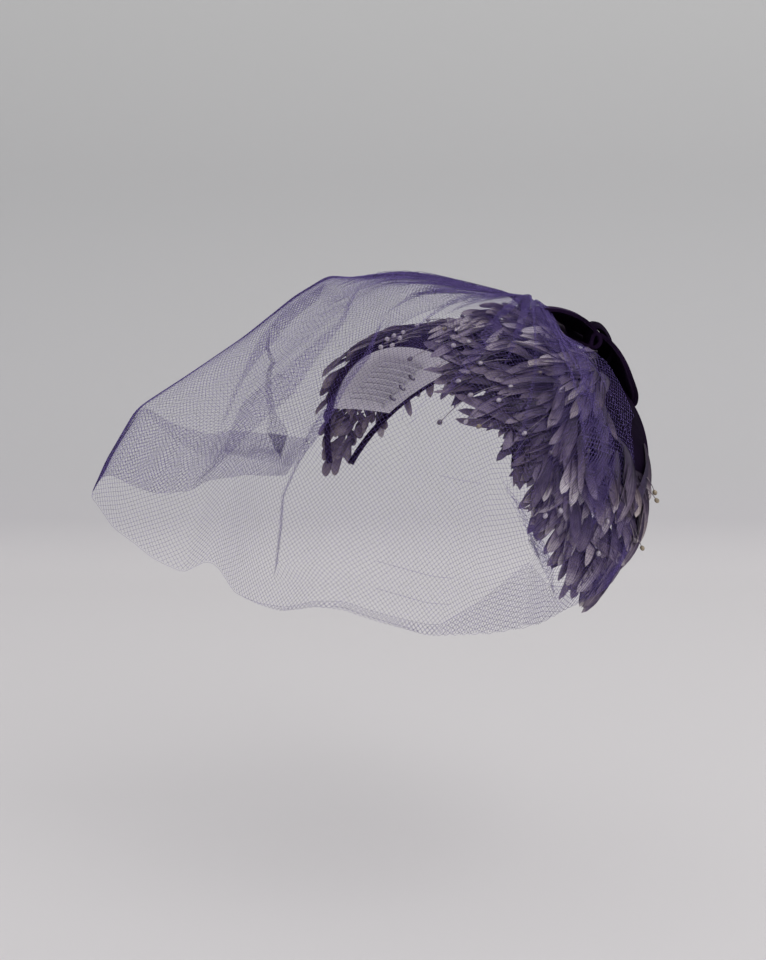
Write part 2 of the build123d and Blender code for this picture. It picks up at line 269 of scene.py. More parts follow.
def petal_material(name, stops, warm_stops):
    """Stiffened organza: dark purple at the root, partly the organza's dye and partly painted shade where the roots lie
    under other petals, lilac grey to beige at the tip.
    """
    m, nodes, links, shader = principled(
        name, Roughness=0.55, Sheen_Weight=0.25, Sheen_Roughness=0.35,
        Sheen_Tint=(0.85, 0.80, 0.95, 1.0), Specular_IOR_Level=0.35,
    )
    tone = nodes.new("ShaderNodeAttribute")
    tone.attribute_name = "tone"
    parts = nodes.new("ShaderNodeSeparateColor")
    links.new(tone.outputs["Color"], parts.inputs["Color"])
    mottle = noise(nodes, links, 230.0, 4.0, rough=0.7)
    speck = nodes.new("ShaderNodeMath")
    speck.operation = "MULTIPLY_ADD"
    speck.inputs[1].default_value = 0.55
    links.new(mottle, speck.inputs[0])
    shift = nodes.new("ShaderNodeMath")
    shift.operation = "SUBTRACT"
    shift.inputs[1].default_value = 0.275
    links.new(parts.outputs["Red"], shift.inputs[0])
    links.new(shift.outputs[0], speck.inputs[2])
    cool = ramp(nodes, links, speck.outputs[0], stops)
    warm = ramp(nodes, links, speck.outputs[0], warm_stops)
    mix = nodes.new("ShaderNodeMix")
    mix.data_type = "RGBA"
    links.new(parts.outputs["Green"], mix.inputs[0])
    links.new(cool, mix.inputs[6])
    links.new(warm, mix.inputs[7])
    links.new(mix.outputs[2], shader.inputs["Base Color"])
    bump(nodes, links, noise(nodes, links, 1500.0, 2.0), 0.35, 0.00025, shader)
    return m


def bead_material(name, a, b, rough=0.25):
    m, nodes, links, shader = principled(name, Roughness=rough, Coat_Weight=0.4, Coat_Roughness=0.15)
    links.new(
        ramp(nodes, links, noise(nodes, links, 400.0, 2.0), [(0.35, a), (0.65, b)]),
        shader.inputs["Base Color"],
    )
    return m


velvet = velvet_material("velvet", (0.0025, 0.0011, 0.0045), (0.006, 0.0024, 0.011), (0.11, 0.06, 0.18))
velvet_roll = velvet_material("velvet_roll", (0.005, 0.002, 0.009), (0.013, 0.005, 0.022), (0.24, 0.13, 0.36))
PETALS = [
    petal_material(
        "petal_organza",
        [(0.0, (0.012, 0.006, 0.026)), (0.22, (0.040, 0.024, 0.072)), (0.45, (0.120, 0.088, 0.165)),
         (0.68, (0.260, 0.215, 0.300)), (0.85, (0.400, 0.350, 0.420)), (1.0, (0.560, 0.510, 0.560))],
        [(0.0, (0.020, 0.010, 0.026)), (0.22, (0.060, 0.040, 0.060)), (0.45, (0.160, 0.120, 0.135)),
         (0.68, (0.320, 0.260, 0.260)), (0.85, (0.480, 0.415, 0.400)), (1.0, (0.660, 0.600, 0.580))],
    )
]
wire_mat = bead_material("stamen_wire", (0.10, 0.08, 0.11), (0.20, 0.16, 0.19), 0.5)
pearl = bead_material("bead_pearl", (0.30, 0.26, 0.30), (0.52, 0.47, 0.52), 0.25)
olive = bead_material("bead_olive", (0.13, 0.10, 0.07), (0.30, 0.24, 0.16), 0.3)
dark_bead = bead_material("bead_dark", (0.04, 0.03, 0.05), (0.12, 0.09, 0.12), 0.3)


def woven_material(name, a, b, scale, rough=0.8):
    m, nodes, links, shader = principled(name, Roughness=rough, Sheen_Weight=0.15)
    coords = nodes.new("ShaderNodeTexCoord").outputs["Object"]
    waves = []
    for direction in ("X", "Y", "Z"):
        w = nodes.new("ShaderNodeTexWave")
        w.wave_type = "BANDS"
        w.bands_direction = direction
        w.inputs["Scale"].default_value = scale
        links.new(coords, w.inputs["Vector"])
        waves.append(w.outputs["Fac"])
    mix = nodes.new("ShaderNodeMath")
    mix.operation = "MULTIPLY"
    links.new(waves[0], mix.inputs[0])
    links.new(waves[1], mix.inputs[1])
    add = nodes.new("ShaderNodeMath")
    add.operation = "MAXIMUM"
    links.new(mix.outputs[0], add.inputs[0])
    links.new(waves[2], add.inputs[1])
    links.new(ramp(nodes, links, add.outputs[0], [(0.1, a), (0.9, b)]), shader.inputs["Base Color"])
    bump(nodes, links, add.outputs[0], 0.4, 0.0003, shader)
    return m


lining_mat = woven_material("lining_weave", (0.50, 0.47, 0.53), (0.66, 0.63, 0.68), 320.0, 0.6)
buckram_mat = woven_material("buckram_weave", (0.03, 0.022, 0.04), (0.09, 0.07, 0.11), 160.0)
thread_mat = bead_material("sewing_thread", (0.035, 0.02, 0.06), (0.07, 0.045, 0.11), 0.6)
comb_mat = bead_material("comb_clear", (0.42, 0.40, 0.44), (0.58, 0.56, 0.60), 0.15)
steel_mat = bead_material("millinery_wire", (0.10, 0.10, 0.11), (0.22, 0.22, 0.23), 0.4)

NET = []
for i, c in enumerate([(0.138, 0.090, 0.335), (0.168, 0.112, 0.385), (0.106, 0.066, 0.275)]):
    NET.append(principled(f"net_thread_{i}", Base_Color=(*c, 1.0), Roughness=0.6, Alpha=0.28)[0])

for node, mat in (
    ("lining", lining_mat), ("buckram_base", buckram_mat), ("velvet_cover", velvet),
    ("front_edge_roll", velvet_roll), ("back_edge_roll", velvet_roll),
    ("front_edge_wire", steel_mat), ("back_edge_wire", steel_mat),
    ("comb_left", comb_mat), ("comb_right", comb_mat),
    ("comb_left_stitches", thread_mat), ("comb_right_stitches", thread_mat),
    ("gather_binding", thread_mat),
):
    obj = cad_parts[node]
    if not obj.data.materials:
        obj.data.materials.append(mat)
    for k in range(len(obj.material_slots)):
        obj.material_slots[k].material = mat


# ------------------------------------------------------------------ petals
PETAL_ROWS, PETAL_COLS = 14, 15


def petal(soup, root_dir, tip_dir, width, h_root, h_tip, tone, arch=1.0, curl=0.6, cup=0.16, bend=0.0, twist=0.0):
    """One ribbed, stiffened organza petal laid from root to tip over the head.

    tone is (root, tip, warmth), each 0 to 1; the dark root is partly dye and partly painted shade.
    """
    t = np.linspace(0, 1, PETAL_ROWS)
    line = unit((1 - t)[:, None] * root_dir + t[:, None] * tip_dir)
    heights = h_root + (h_tip - h_root) * t + arch * np.sin(math.pi * np.minimum(t * 1.15, 1)) + curl * t**3
    centre = on_head(line, heights)
    normal = head_normal(line)
    tangent = unit(np.gradient(centre, axis=0))
    side = unit(np.cross(normal, tangent))
    centre = centre + side * (bend * np.sin(math.pi * t * 0.5) ** 2)[:, None]
    turn = (twist * t)[:, None]
    side, normal = side * np.cos(turn) + normal * np.sin(turn), normal * np.cos(turn) - side * np.sin(turn)
    fall = np.clip((t - 0.55) / 0.45, 0, 1)
    half = 0.5 * width * (0.20 + 0.80 * np.sin(np.clip(t / 0.62, 0, 1) * math.pi / 2)) * np.sqrt(
        np.maximum(1 - fall**2.2, 0.0)
    )
    x = np.linspace(-1, 1, PETAL_COLS)
    rib = np.where(np.arange(PETAL_COLS) % 2 == 0, 1.0, -1.0)
    lift = (
        cup * (x**2)[None, :] * half[:, None] * 1.5
        + 0.17 * rib[None, :] * np.minimum(half, 2.2)[:, None] / 2.2
    )
    verts = (
        centre[:, None, :]
        + side[:, None, :] * (half[:, None] * x[None, :])[:, :, None]
        + normal[:, None, :] * lift[:, :, None]
    )
    root_dye_and_shade, tip_tone, warm = tone
    # dark at the root: partly dye, partly painted shade where the roots lie under other petals
    value = root_dye_and_shade + (tip_tone - root_dye_and_shade) * np.clip((t - 0.25) / 0.6, 0, 1)
    # the ribs' ridges are painted lighter and their hollows darker, painted light and shade of the ribs; the outermost
    # columns are darker
    value = value[:, None] + 0.085 * rib[None, :] - 0.12 * (np.abs(x)[None, :] > 0.92)
    tones = np.ones((PETAL_ROWS, PETAL_COLS, 4))
    tones[..., 0] = np.clip(value, 0, 1)
    tones[..., 1] = warm
    tones[..., 2] = 0
    soup.add(verts.reshape(-1, 3), grid_faces(PETAL_ROWS, PETAL_COLS), 0, tones.reshape(-1, 4))


def stamen(soup, root_dir, tip_dir, h_root, h_tip, bead_slot, radius=1.1, sag=0.0):
    t = np.linspace(0, 1, 7)
    line = unit((1 - t)[:, None] * root_dir + t[:, None] * tip_dir)
    heights = h_root + (h_tip - h_root) * t**1.3 + sag * np.sin(math.pi * t)
    points = on_head(line, heights)
    verts, faces = tube(points, np.linspace(0.24, 0.17, 7), 5)
    soup.add(verts, faces, 0)
    axis = points[-1] - points[-2]
    verts, faces = ball(points[-1] + unit(axis) * radius * 0.7, radius, axis, 1.18)
    soup.add(verts, faces, bead_slot)


FANS = ("near_tip", "side", "crown", "far_horn")
ROWS = ("outer", "middle", "inner")
petal_soups = {(f, r): Soup() for f in FANS for r in ROWS}
stamen_soups = {f: Soup() for f in FANS}


def angle_along(direction):
    return math.degrees(math.atan2(direction @ ALONG, direction @ MIDDLE))


def keep_on_base(direction, past_front, past_back):
    """The direction held to the crescent, let past its edges by the given degrees."""
    theta = angle_along(direction)
    phi = math.degrees(math.asin(float(np.clip(direction @ ACROSS, -1, 1))))
    narrow = max(math.cos(math.radians(theta)) + 0.326, 0.0)
    theta = float(np.clip(theta, -114, 124))
    return head_dir(theta, float(np.clip(phi, -0.404 * narrow * 57.3 - past_front, 0.325 * narrow * 57.3 + past_back)))


def fan_of(direction):
    t = angle_along(direction)
    return "near_tip" if t > 60 else "side" if t > 25 else "crown" if t > -27 else "far_horn"


# The petals on the wearer's left fan out from under the bow.  The reach of the
# outermost tips is given by direction round that point, in the view's units.
HUB = np.array([600.0, 368.0])
REACH = np.array(
    [(52, 60), (58, 84), (65, 122), (71, 150), (77, 186), (84, 216), (90, 243), (98, 232),
     (106, 200), (114, 174), (122, 156), (134, 138), (146, 130), (157, 136), (165, 160), (173, 170),
     (184, 178), (192, 172), (199, 160), (206, 138), (214, 100)], float,
)
# bare places where the velvet shows: (u, v, radius)
GAPS = ((577, 426, 13), (507, 452, 6), (529, 472, 5), (624, 420, 14), (631, 446, 13), (641, 470, 9), (612, 395, 7), (600, 470, 5))
# places where the petals are painted paler, partly as painted highlight, or darker (negative amounts), as painted shade
# round the bare gaps, and how far: (u, v, radius, amount)
PAINTED_LIGHT_SPOTS = (
    (538, 338, 22, 0.42), (566, 395, 26, 0.20), (558, 478, 24, 0.28), (578, 530, 40, 0.20), (452, 345, 30, 0.20),
    (597, 598, 16, 0.25), (646, 520, 14, 0.24), (596, 572, 28, 0.14), (476, 352, 26, 0.10), (540, 540, 14, 0.10),
    (430, 330, 36, 0.16), (500, 310, 30, 0.10), (600, 440, 30, -0.28), (505, 460, 34, -0.16), (480, 410, 22, -0.08), (520, 505, 26, -0.12), (625, 455, 26, -0.2),
)


def reach_at(angle):
    return float(np.interp(angle, REACH[:, 0], REACH[:, 1]))


def spot(angle, radius):
    a = math.radians(angle)
    return HUB[0] + radius * math.cos(a), HUB[1] + radius * math.sin(a)


# painted highlight and painted shade of the nearby spots, added to a petal's tone
def painted_light_at(u, v):
    return sum(g * math.exp(-((u - x) ** 2 + (v - y) ** 2) / (r * r)) for x, y, r, g in PAINTED_LIGHT_SPOTS)


LEVELS = 8
for level in (0, 0.4, 1, 2, 3, 4, 5, 6, 7):
    inset = level * 23.0
    angle = 57.0 + rng.uniform(0, 4)
    while angle < 214.0:
        tip_radius = reach_at(angle) - inset + rng.normal(0, 9)
        if level == 0:
            tip_radius = reach_at(angle) - rng.uniform(0, 9)
        if tip_radius < 20:
            angle += 4
            continue
        length = rng.uniform(38, 68) * (1.0 if tip_radius > 80 else 0.75) * (0.7 if angle < 70 else 1.0)
        lean = rng.normal(0, 7.0)
        tip = spot(angle, tip_radius)
        root_radius = max(tip_radius - length, 3.0)
        root = spot(angle + lean * 2.0, root_radius)
        angle_step = (6.6 if level < 2 else 7.0) / max(tip_radius - 16, 26) * 57.3 * rng.uniform(0.6, 1.3)
        mid = 0.6 * np.array(tip) + 0.4 * np.array(root)
        skip = any(math.hypot(mid[0] - g[0], mid[1] - g[1]) < g[2] for g in GAPS)
        skip = skip or (mid[0] > 558 and mid[1] < 346) or (tip[0] > 610 and tip[1] < 400)
        skip = skip or (tip[0] > 618 and tip[1] < 486)
        angle += angle_step
        if skip:
            continue
        # the petals near the gathers stand up from the head
        puff = 9.0 * math.exp(-(((mid[0] - 545) / 55.0) ** 2 + ((mid[1] - 318) / 30.0) ** 2))
        h = 3.9 + 0.70 * level + puff * rng.uniform(0.5, 1.1) + rng.uniform(-0.3, 0.6)
        root_dir = keep_on_base(seen_at(*root, h), 1.0, -1.5)
        tip_dir = keep_on_base(seen_at(*tip, h), 16.0, 5.0)
        fan = fan_of(tip_dir)
        row = ROWS[0] if level < 2 else ROWS[1] if level < 5 else ROWS[2]
        broad = 68 < angle < 118 and level < 5
        # the tone takes the painted highlight and painted shade of its place
        base = 0.345 + 0.015 * level + rng.normal(0, 0.13) + painted_light_at(*mid) + (0.04 if broad else 0.0)
        if rng.uniform() < 0.25:
            base -= 0.22
        warm = float(np.clip(rng.uniform(0.0, 0.5) + (0.35 if angle < 82 else 0.0) + (0.15 if level > 3 else 0.0), 0, 1))
        petal(
            petal_soups[fan, row], root_dir, tip_dir, rng.uniform(4.4, 6.8) if broad else rng.uniform(3.6, 6.0),
            h - 0.6, h + rng.uniform(-0.8, 1.3), (base * 0.1, base + 0.17, warm),
            arch=rng.uniform(0.3, 2.0), curl=rng.uniform(-1.2, 0.6 if angle < 84 else 3.0), cup=rng.uniform(0.03, 0.5),
            bend=rng.normal(0, 1.5), twist=rng.normal(0, 0.28 if broad else 0.5),
        )

# Petals standing up round the gathers, drawn by where they show.
for k in range(66):
    u, v = rng.uniform(452, 598), 0.0
    top = np.interp(u, [452, 475, 505, 545, 575, 600], [308, 301, 298, 309, 330, 350])
    v = top + rng.uniform(2, 34)
    if u > 552 and v < 352:
        continue
    h = float(np.interp(v - top, [0, 34], [17.0, 8.0])) * float(np.interp(u, [452, 480, 560, 598], [0.8, 1.0, 1.0, 0.8]))
    heading = math.radians(np.interp(u, [462, 530, 598], [178, 160, 110]) + rng.normal(0, 16))
    length = rng.uniform(34, 50)
    tip_dir = seen_at(u, v, h)
    root_dir = keep_on_base(seen_at(u - length * math.cos(heading), v - 0.35 * length * math.sin(heading), max(h - 6, 5)), 1.0, -1.5)
    # the tone takes the painted highlight and painted shade of its place
    base = 0.45 + rng.normal(0, 0.12) + painted_light_at(u, v)
    petal(
        petal_soups[fan_of(tip_dir), "inner"], root_dir, tip_dir, rng.uniform(4.4, 6.2),
        max(h - 7.0, 5.0), h, (base * 0.3, base + 0.2, rng.uniform(0.1, 0.8)),
        arch=rng.uniform(0.5, 2.0), curl=rng.uniform(-1.5, 0.5), cup=rng.uniform(0.1, 0.4),
        bend=rng.normal(0, 1.0), twist=rng.normal(0, 0.4),
    )

# The far horn and the far side of the crown, laid by place on the head.
for theta in np.concatenate([np.arange(-16.0, -84.0, -3.9), np.arange(-84.0, -103.0, -2.4)]):
    narrow = math.cos(math.radians(theta)) + 0.326
    front, back = -0.404 * narrow * 57.3 * 0.96, 0.325 * narrow * 57.3 * 0.96
    count = max(3, int((back - front) / (4.0 if theta > -84 else 2.3)))
    for k in range(count):
        phi = front + (back - front) * (k + rng.uniform(0.1, 0.9)) / count
        spread = 26.0 * (phi - 0.5 * (front + back)) / max(back - front, 1)
        reach = rng.uniform(9, 15) * (0.62 if theta < -80 else 1.0)
        level = int(rng.integers(0, 3))
        h = 3.7 + 0.9 * level + rng.uniform(-0.2, 0.6)
        root_dir = head_dir(theta + 4, phi)
        tip_dir = head_dir(max(theta + 4 - reach, -107), phi + spread * (0.5 if theta > -80 else 0.15) + rng.normal(0, 2.0))
        base = 0.42 + rng.normal(0, 0.12) - (0.2 if rng.uniform() < 0.2 else 0.0) + (0.10 if theta < -84 else 0.0)
        petal(
            petal_soups[fan_of(tip_dir), ROWS[level]], root_dir, tip_dir, rng.uniform(3.8, 5.8),
            h - 0.4, h + rng.uniform(-0.3, 0.9), (base * (0.25 if theta > -84 else 0.7), base + 0.14, rng.uniform(0.3, 0.9)),
            arch=rng.uniform(0.2, 1.4), curl=rng.uniform(-0.8, 1.8), cup=rng.uniform(0.05, 0.45),
            bend=rng.normal(0, 1.0), twist=rng.normal(0, 0.35),
        )
for theta in np.arange(20.0, -24.0, -4.4):
    for phi in (-19, -14, -9, -4, 1, 6, 11, 15):
        if theta > 0 and phi < 0:
            continue
        level = int(rng.integers(0, 3))
        h = 3.9 + 0.9 * level
        heading = rng.normal(0, 14)
        root_dir = head_dir(theta + 2, phi + rng.normal(0, 1))
        tip_dir = head_dir(theta - rng.uniform(9, 13), phi - 5 + heading * 0.3)
        base = rng.uniform(0.30, 0.66)
        petal(
            petal_soups[fan_of(tip_dir), ROWS[level]], root_dir, tip_dir, rng.uniform(4.8, 6.2),
            h - 0.4, h + rng.uniform(-0.3, 0.6), (base * 0.3, base + 0.12, rng.uniform(0.1, 0.7)),
            arch=rng.uniform(0.2, 0.9), curl=rng.uniform(-0.5, 0.8), cup=rng.uniform(0.05, 0.3),
            twist=rng.normal(0, 0.15),
        )

# ------------------------------------------------------------------ stamens
# Bead place, the place its wire comes from, and which bead (1 pearl, 2 olive, 3 dark).
SEEN_STAMENS = (
    (411, 357, 452, 338, 3), (401, 337, 440, 325, 1), (395, 335, 436, 322, 1), (418, 324, 452, 316, 1),
    (446, 330, 478, 326, 2), (441, 421, 470, 392, 3), (467, 420, 492, 398, 1), (460, 380, 492, 372, 1),
    (482, 362, 512, 358, 1), (541, 372, 560, 362, 2), (656, 491, 649, 477, 2), (654, 499, 648, 487, 2),
    (640, 546, 637, 529, 2), (635, 539, 632, 524, 3), (561, 509, 566, 480, 1), (546, 514, 553, 486, 1),
    (599, 552, 598, 524, 1), (404, 330, 444, 322, 1), (389, 340, 420, 330, 1), (393, 343, 420, 334, 1),
    (440, 362, 470, 350, 1), (455, 345, 485, 342, 1), (500, 400, 526, 388, 1), (472, 395, 500, 384, 1),
    (512, 386, 540, 376, 1), (588, 410, 596, 394, 1), (597, 416, 602, 398, 1), (480, 426, 505, 408, 2),
    (526, 432, 548, 414, 1), (571, 500, 574, 474, 1), (607, 520, 606, 492, 1), (588, 450, 592, 428, 3),
    (551, 452, 562, 430, 3), (470, 340, 500, 336, 1), (429, 318, 462, 314, 1), (382, 346, 408, 338, 1),
)
for bu, bv, ru, rv, bead in SEEN_STAMENS:
    tip_dir, root_dir = seen_at(bu, bv, 8.5), seen_at(ru, rv, 7.0)
    stamen(
        stamen_soups[fan_of(tip_dir)], root_dir, tip_dir, 6.0, rng.uniform(7.6, 9.4), bead,
        radius=rng.uniform(0.95, 1.2), sag=rng.uniform(-0.2, 1.0),
    )
for theta in np.arange(-22.0, -100.0, -8.5):
    phi = rng.uniform(-10, 8) * (math.cos(math.radians(theta)) + 0.4)
    stamen(
        stamen_soups["far_horn"], head_dir(theta + 8, phi), head_dir(theta - 2, phi + rng.normal(0, 4)),
        4.5, rng.uniform(6.5, 8.5), int(rng.integers(1, 4)), radius=rng.uniform(0.9, 1.15),
    )
for k in range(7):
    theta, phi = rng.uniform(-20, 12), rng.uniform(-14, 10)
    stamen(
        stamen_soups["crown"], head_dir(theta + 6, phi), head_dir(theta - 3, phi + rng.normal(0, 4)),
        5.0, rng.uniform(7.0, 9.0), int(rng.integers(1, 4)), radius=rng.uniform(0.9, 1.15),
    )

for (fan, row), soup in petal_soups.items():
    if soup.count == 0:
        continue
    obj = soup.make(f"organza_{fan}_{row}", PETALS, toned=True)
    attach(obj, "base")
    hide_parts(f"{fan}_petals_{row}")
for fan, soup in stamen_soups.items():
    obj = soup.make(f"beads_{fan}", [wire_mat, pearl, olive, dark_bead])
    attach(obj, "base")
    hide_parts(f"{fan}_stamens")


# ------------------------------------------------------------------ bow
def closed_spline(points, count):
    """Points along a smooth closed curve."""
    points = np.asarray(points, float)
    n = len(points)
    out = []
    for k in range(count):
        s = k * n / count
        i, f = int(s), s - int(s)
        p0, p1, p2, p3 = (points[(i + j) % n] for j in (-1, 0, 1, 2))
        out.append(
            0.5 * (2 * p1 + (p2 - p0) * f + (2 * p0 - 5 * p1 + 4 * p2 - p3) * f * f
                   + (3 * p1 - p0 - 3 * p2 + p3) * f**3)
        )
    return np.array(out)


def ribbon_loop(name, profile, half_width, thickness, material, waist=0.0, pinch_at=(0, 0), flare=3.2, close=0.8):
    """A closed loop of velvet ribbon: profile is (y, z) and the ribbon's width runs along x.

    Towards the wearer's right the loop swells by flare and then its two walls are
    drawn together, as they are when a bow is caught down behind.
    """
    ring = closed_spline(profile, 64)
    xs = np.linspace(-1, 1, 25)
    mid = ring.mean(axis=0)
    spread = ring - mid
    _, _, axes = np.linalg.svd(spread, full_matrices=False)
    long_axis, short_axis = axes
    verts = []
    for s in xs:
        far = np.clip((0.75 - s) / 1.75, 0, 1)
        squeeze = 1.0 - close * np.clip((far - 0.30) / 0.70, 0, 1) ** 1.3
        for p in ring:
            near = math.exp(-(((p[0] - pinch_at[0]) ** 2 + (p[1] - pinch_at[1]) ** 2) / 90.0))
            d = p - mid
            along, across = d @ long_axis, d @ short_axis
            q = mid + along * long_axis * (1 + 0.03 * math.sin(math.pi * far)) + across * short_axis * squeeze
            q = q + d / max(np.linalg.norm(d), 1e-6) * flare * math.sin(math.pi * min(far * 1.15, 1.0)) * (1 - near)
            x = s * half_width * (1.0 - waist * near) + 0.6 * math.sin(p[0] * 0.31 + p[1] * 0.23)
            verts.append((x, q[0], q[1]))
    faces = grid_faces(len(xs), len(ring), wrap=True)
    obj = build_mesh(name, verts, faces, [material])
    solid = obj.modifiers.new("solid", "SOLIDIFY")
    solid.thickness = thickness / 1000.0
    solid.offset = 0.0
    bevel = obj.modifiers.new("round", "BEVEL")
    bevel.width, bevel.segments, bevel.limit_method = 0.0004, 2, "ANGLE"
    return obj


def apply_modifiers(obj):
    depsgraph = bpy.context.evaluated_depsgraph_get()
    mesh = bpy.data.meshes.new_from_object(obj.evaluated_get(depsgraph))
    obj.modifiers.clear()
    obj.data = mesh




def rim_profile(places, x=18.0):
    return [tuple((EYE + (FORWARD + (u - VIEW_W / 2) / VIEW_FOCAL * RIGHT - (v - VIEW_H / 2) / VIEW_FOCAL * UP)
                   * (x - EYE[0]) / (FORWARD[0] - (v - VIEW_H / 2) / VIEW_FOCAL * UP[0]))[1:]) for u, v in places]


bow_front = ribbon_loop(
    "bow_velvet_front",
    rim_profile([(541, 312), (550, 310), (562, 311), (575, 315), (587, 321), (598, 331), (603, 341), (597, 348), (583, 344), (567, 338), (551, 328)]),
    18.0, 1.5, velvet_roll, waist=0.40, pinch_at=(61.0, 2.0), flare=1.2, close=0.94,
)
bow_rear = ribbon_loop(
    "bow_velvet_rear",
    rim_profile([(597, 335), (606, 337), (616, 347), (625, 362), (632, 379), (637, 395), (635, 405), (628, 402), (615, 389), (603, 377), (596, 365), (593, 349)]),
    18.0, 1.5, velvet_roll, waist=0.40, pinch_at=(62.0, 0.0), flare=1.4, close=0.94,
)
for obj, node in ((bow_front, "bow_loop_front"), (bow_rear, "bow_loop_rear")):
    apply_modifiers(obj)
    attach(obj, "base")
    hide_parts(node)

# knot: a short band wrapped over the waist, with soft pleats across it
knot_ring = closed_spline(
    [(57.0, -3.0), (58.0, 4.0), (61.5, 6.2), (65.5, 3.6), (69.0, -3.0), (69.0, -11.0), (64.0, -15.5), (58.0, -12.5)], 40
)
verts = []
xs = np.linspace(-1, 1, 29)
knot_mid = knot_ring.mean(axis=0)
for s in xs:
    pleat = 0.35 * math.cos(s * math.pi * 4.0)
    round_off = 1.0 - 0.30 * abs(s) ** 6
    for p in knot_ring:
        d = p - knot_mid
        q = knot_mid + d * round_off + d / np.linalg.norm(d) * pleat
        verts.append((s * 9.5, q[0], q[1]))
knot = build_mesh("bow_velvet_knot", verts, grid_faces(len(xs), len(knot_ring), wrap=True), [velvet])
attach(knot, "base")
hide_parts("bow_knot")

# ------------------------------------------------------------------ veil
def at_depth(u, v, x):
    """Point at depth x (mm) that shows at place (u, v) of the view."""
    d = FORWARD + (u - VIEW_W / 2) / VIEW_FOCAL * RIGHT - (v - VIEW_H / 2) / VIEW_FOCAL * UP
    return EYE + d * (x - EYE[0]) / d[0]


def in_view(points):
    d = points - EYE
    z = d @ FORWARD
    return np.stack([VIEW_W / 2 + VIEW_FOCAL * (d @ RIGHT) / z, VIEW_H / 2 - VIEW_FOCAL * (d @ UP) / z], axis=-1)


def from_gather(heading, *points):
    """A line of the veil: up through the binding, over the bunched net, then the given points."""
    t = math.radians(heading)
    c, n = math.cos(t), math.sin(t)
    low = max(0.0, n + 0.2)
    first = [(4 + r * c, 30 + r * n, z) for r, z in ((2.6, 8.6), (2.9, 13.2 - 2.0 * low), (9.5, 18.2 - 5.6 * low))]
    return first + [tuple(q) for q in points]


# Lines of the veil from the gathers to the hem, from behind the left ear round
# the front to the right side.  The seventh is the crease down the front.
STATIONS = np.array(
    [
        from_gather(58, at_depth(562, 333, 28), at_depth(608, 364, 30), (28, 79, -42), (36, 83, -64), (44, 79, -82), (58, 66, -101)),
        from_gather(28, (42, 42, -3), (59, 50, -22), (69, 56, -46), (74, 54, -70), (76, 51, -93), (72, 47, -113)),
        from_gather(-8, (42, 28, 5), (62, 26, -13), (77, 20, -36), (85, 14, -64), (88, 9, -95), (86, 6.6, -123)),
        from_gather(-32, (42, 6, 12), (60, -10, -4), (75, -22, -30), (83, -30, -60), (87, -35, -92), (85, -38, -119)),
        from_gather(-54, (34, -12, 20), (52, -34, 7), (66, -52, -18), (73, -66, -50), (76, -75, -86), (75, -81, -116)),
        from_gather(-75, (20, -28, 27), (30, -56, 19), (40, -84, -6), (48, -104, -36), (53, -118, -70), (54, -126, -102)),
        from_gather(-90, (4, -35, 30), (4, -64, 28), (4, -104, -1), (4, -139, -24), (4, -164, -46), (4, -178, -76)),
        from_gather(-105, (-12, -32, 27), (-22, -60, 20), (-31, -94, -6), (-38, -124, -30), (-44, -144, -56), (-46, -155, -83)),
        from_gather(-120, (-26, -20, 22), (-42, -46, 8), (-56, -72, -14), (-64, -92, -38), (-69, -105, -60), (-70, -113, -76)),
        from_gather(
            -135, at_depth(461, 303, -34), at_depth(415, 316, -50), at_depth(372, 346, -62),
            at_depth(333, 396, -72), at_depth(304, 444, -77), at_depth(287, 476, -79),
        ),
    ],
    float,
)
CREASE = 6


def slide(point, x):
    """The point moved along the line of sight to depth x."""
    u, v = in_view(np.asarray(point, float))
    return at_depth(u, v, x)


for row, narrow in ((4, 0.85), (5, 0.60), (7, 0.60), (8, 0.85)):
    for k in range(3, STATIONS.shape[1]):
        q = STATIONS[row, k]
        STATIONS[row, k] = slide(q, 4 + (q[0] - 4) * narrow)
CREASE_LINE = np.array(
    [(4, 27, 8.6), (4, 26.5, 13.2), (4, 20, 19.3), (4, 1.3, 23.9), (4, -20.7, 29), (4, -35, 29.5), (4, -49, 26.7),
     (4, -64, 28), (4, -80, 18.4), (4, -104, -0.7), (4, -135.6, -22.3), (4, -156, -35.6), (4, -170.7, -60), (4, -178, -76)],
    float,
)
HEM = np.array(
    [
        (58, 65.8, -101), (64, 59.3, -108), (72, 47.3, -113), (76, 38, -117), (80, 28.8, -121), (86, 6.6, -123.4),
        (87, -19.8, -123.2), (85, -38, -119.3), (83, -47, -117), (82, -55.4, -113.5), (79, -68, -113),
        (75, -81.1, -116.1), (71, -93, -114), (66, -103.9, -109.3), (61, -112, -99), (58, -116.9, -96.6), (54, -126.5, -103.3),
        (46, -140.5, -98.6), (36, -153, -92), (26, -163.4, -87.9), (14, -172, -80), (4, -178.3, -75.8), (-8, -176, -70), (-15, -173.2, -68.3),
        (-30, -165, -76), (-46, -155, -83.4), (-56, -137.8, -83.3), (-60, -130.4, -77.6), (-70, -112.6, -76.3),
        (-76, -96.6, -78.2), (-79, -90, -78),
    ],
    float,
)
HEM = np.array([slide(q, 4 + (q[0] - 4) * np.interp(q[1], [-126, -75], [0.62, 1.0])) for q in HEM])
